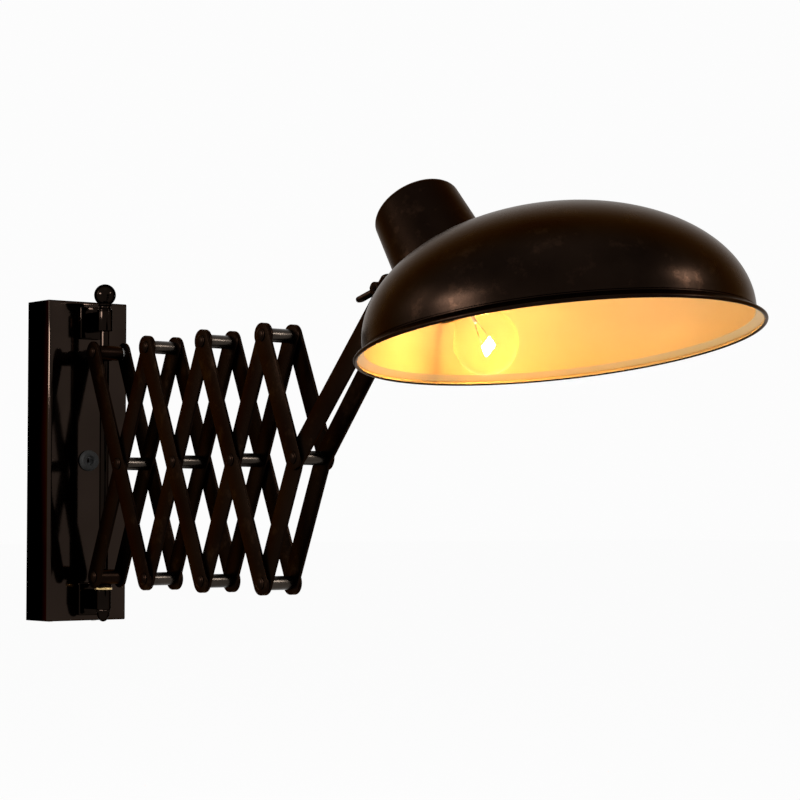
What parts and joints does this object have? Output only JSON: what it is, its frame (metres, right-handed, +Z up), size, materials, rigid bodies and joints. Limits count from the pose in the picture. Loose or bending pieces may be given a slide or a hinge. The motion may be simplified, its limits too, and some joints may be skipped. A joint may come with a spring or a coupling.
{
  "type": "accordion wall lamp",
  "caption": "Scissor-arm wall lamp: wall box with upright rod, folding twin lattice, cranked arms and a tilting dome shade with side cup.",
  "frame": {"origin": "on the wall, at the centre of the four fixing holes in the back plate", "axes": "+X away from the wall, +Z up, +Y to the left of someone facing the wall"},
  "size_m": [1.0093, 0.3562, 0.4256],
  "materials": {
    "dark_bronze": "satin oil-rubbed bronze lacquer",
    "dark_gloss": "glossy dark bronze lacquer",
    "shade_enamel": "satin dark bronze outside, golden cream enamel inside",
    "zinc_steel": "zinc plated",
    "brass": "plain brass",
    "porcelain": "glazed",
    "black_rubber": "matt",
    "terminal_plastic": "matt",
    "clear_glass": "clear, lit warm",
    "nickel_cap": "rolled thread",
    "filament_wire": "glowing filament"
  },
  "bodies": {
    "wall_unit": {"wall_plate": "zinc_steel", "wall_cover": "dark_gloss", "cover_screws": "zinc_steel", "upper_lug": "dark_gloss", "lower_lug": "dark_gloss", "lug_screws": "zinc_steel", "swing_rod": "dark_gloss", "ball_finial": "dark_gloss", "rod_cap_nut": "dark_gloss", "thrust_washer": "brass", "cable_grommet": "black_rubber", "terminal_block": "terminal_plastic", "terminal_screws": "zinc_steel", "earth_stud": "brass"},
    "carriage": {"lower_collar": "dark_bronze", "lower_collar_pin": "dark_bronze"},
    "inner_1": {"inner_bars_1": "dark_bronze", "spacer_tubes_1": "dark_bronze", "rivets_1": "dark_bronze"},
    "outer_1": {"outer_bars_1": "dark_bronze"},
    "upper_carriage": {"upper_collar": "dark_bronze", "upper_collar_pin": "dark_bronze", "upper_collar_washers": "zinc_steel"},
    "inner_2": {"inner_bars_2": "dark_bronze", "spacer_tubes_2": "dark_bronze", "rivets_2": "dark_bronze"},
    "outer_2": {"outer_bars_2": "dark_bronze"},
    "inner_3": {"inner_bars_3": "dark_bronze", "spacer_tubes_3": "dark_bronze", "rivets_3": "dark_bronze"},
    "outer_3": {"outer_bars_3": "dark_bronze"},
    "arms": {"long_arms": "dark_bronze", "spacer_tubes_4": "dark_bronze", "rivets_4": "dark_bronze"},
    "short_links": {"short_bars": "dark_bronze"},
    "shade_head": {"tilt_lug": "dark_bronze", "tilt_bolt": "dark_bronze", "tilt_washers": "zinc_steel", "shade_reflector": "shade_enamel", "socket_cup": "dark_bronze", "shade_ring": "shade_enamel", "lug_to_cup_screws": "zinc_steel", "holder_screws": "zinc_steel", "lead_bush": "black_rubber", "holder_body": "porcelain", "holder_shell": "brass", "holder_contact": "brass", "holder_plate": "zinc_steel", "holder_nipple": "brass", "holder_nut": "brass"},
    "clamp_nut": {"wing_nut": "dark_bronze"},
    "bulb": {"bulb_glass": "clear_glass", "bulb_cap": "nickel_cap", "bulb_button": "brass", "bulb_filament": "filament_wire"}
  },
  "joints": [
    {"name": "swing", "type": "hinge", "parent": "wall_unit", "child": "carriage", "pos_m": [0.082, 0, -0.12785], "axis": [0, 0, 1], "range_deg": [-75, 75]},
    {"name": "fold", "type": "hinge", "parent": "carriage", "child": "inner_1", "pos_m": [0.0905, 0, -0.12785], "axis": [0, 1, 0], "range_deg": [-11, 18]},
    {"name": "cross_1", "type": "hinge", "parent": "inner_1", "child": "outer_1", "pos_m": [0.14447, 0, -0.0052], "axis": [0, 1, 0], "range_deg": [-36, 22]},
    {"name": "upper_collar_pivot", "type": "hinge", "parent": "outer_1", "child": "upper_carriage", "pos_m": [0.0905, 0, 0.11745], "axis": [0, 1, 0], "range_deg": [-11, 18]},
    {"name": "low_joint_1", "type": "hinge", "parent": "outer_1", "child": "inner_2", "pos_m": [0.19844, 0, -0.12785], "axis": [0, 1, 0], "range_deg": [-22, 36]},
    {"name": "cross_2", "type": "hinge", "parent": "inner_2", "child": "outer_2", "pos_m": [0.2524, 0, -0.0052], "axis": [0, 1, 0], "range_deg": [-36, 22]},
    {"name": "low_joint_2", "type": "hinge", "parent": "outer_2", "child": "inner_3", "pos_m": [0.30637, 0, -0.12785], "axis": [0, 1, 0], "range_deg": [-22, 36]},
    {"name": "cross_3", "type": "hinge", "parent": "inner_3", "child": "outer_3", "pos_m": [0.36034, 0, -0.0052], "axis": [0, 1, 0], "range_deg": [-36, 22]},
    {"name": "low_joint_3", "type": "hinge", "parent": "outer_3", "child": "arms", "pos_m": [0.41431, 0, -0.12785], "axis": [0, 1, 0], "range_deg": [-22, 36]},
    {"name": "cross_4", "type": "hinge", "parent": "arms", "child": "short_links", "pos_m": [0.46828, 0, -0.0052], "axis": [0, 1, 0], "range_deg": [-36, 22]},
    {"name": "shade_tilt", "type": "hinge", "parent": "arms", "child": "shade_head", "pos_m": [0.60746, 0, 0.14856], "axis": [0, 1, 0], "range_deg": [-45, 45]},
    {"name": "wing_nut_turn", "type": "hinge", "parent": "shade_head", "child": "clamp_nut", "pos_m": [0.60746, 0, 0.14856], "axis": [0, 1, 0], "continuous": true},
    {"name": "bulb_turn", "type": "hinge", "parent": "shade_head", "child": "bulb", "pos_m": [0.73487, 0, 0.09253], "axis": [-0.6136, 0, 0.7896], "continuous": true}
  ],
  "couplings": [
    {"joint": "cross_1", "follows": "fold", "ratio": -2},
    {"joint": "upper_collar_pivot", "follows": "fold", "ratio": 1},
    {"joint": "low_joint_1", "follows": "fold", "ratio": 2},
    {"joint": "cross_2", "follows": "fold", "ratio": -2},
    {"joint": "low_joint_2", "follows": "fold", "ratio": 2},
    {"joint": "cross_3", "follows": "fold", "ratio": -2},
    {"joint": "low_joint_3", "follows": "fold", "ratio": 2},
    {"joint": "cross_4", "follows": "fold", "ratio": -2}
  ]
}
